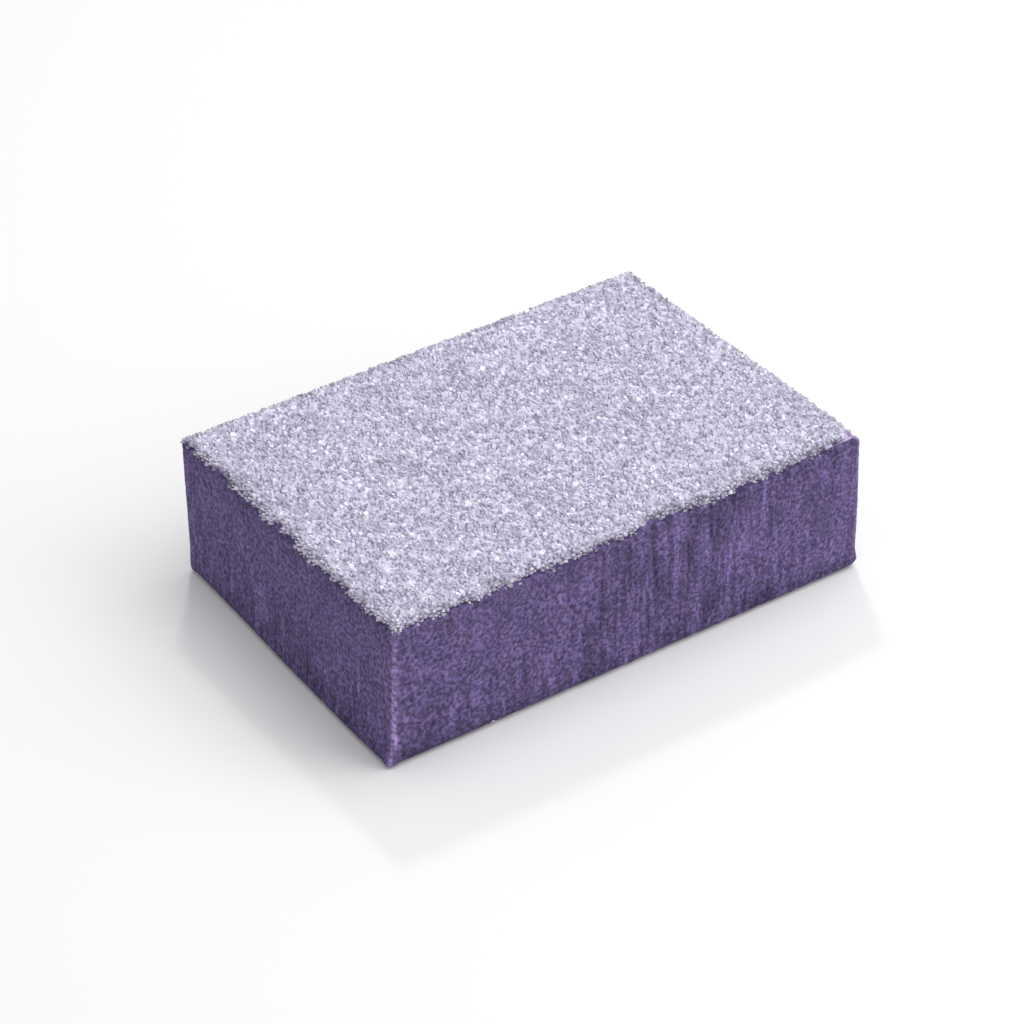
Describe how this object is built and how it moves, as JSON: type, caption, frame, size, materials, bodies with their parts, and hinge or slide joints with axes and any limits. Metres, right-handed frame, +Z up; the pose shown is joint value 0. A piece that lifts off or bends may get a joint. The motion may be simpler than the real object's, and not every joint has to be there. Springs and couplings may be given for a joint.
{
  "type": "sanding block",
  "caption": "Small rectangular sanding block: a soft closed-cell foam core with a coarse abrasive coating on both large faces.",
  "frame": {"origin": "centre of the underside, where the lower abrasive face rests", "axes": "+X along the block's length, +Y across its width, +Z up through its thickness, out of the upper abrasive face"},
  "size_m": [0.035, 0.0244, 0.0105],
  "materials": {
    "foam": "matte purple closed-cell foam, knife-cut sides with fine pores and upright cutting lines",
    "bond_resin": "thin translucent resin film, satin, pale lilac over the foam",
    "abrasive_grit": "dense angular pale lavender-grey mineral grains with bright glints"
  },
  "bodies": {
    "root": {"foam_core": "foam", "top_bond_coat": "bond_resin", "top_grit_coat": "abrasive_grit", "bottom_bond_coat": "bond_resin", "bottom_grit_coat": "abrasive_grit"}
  },
  "joints": []
}
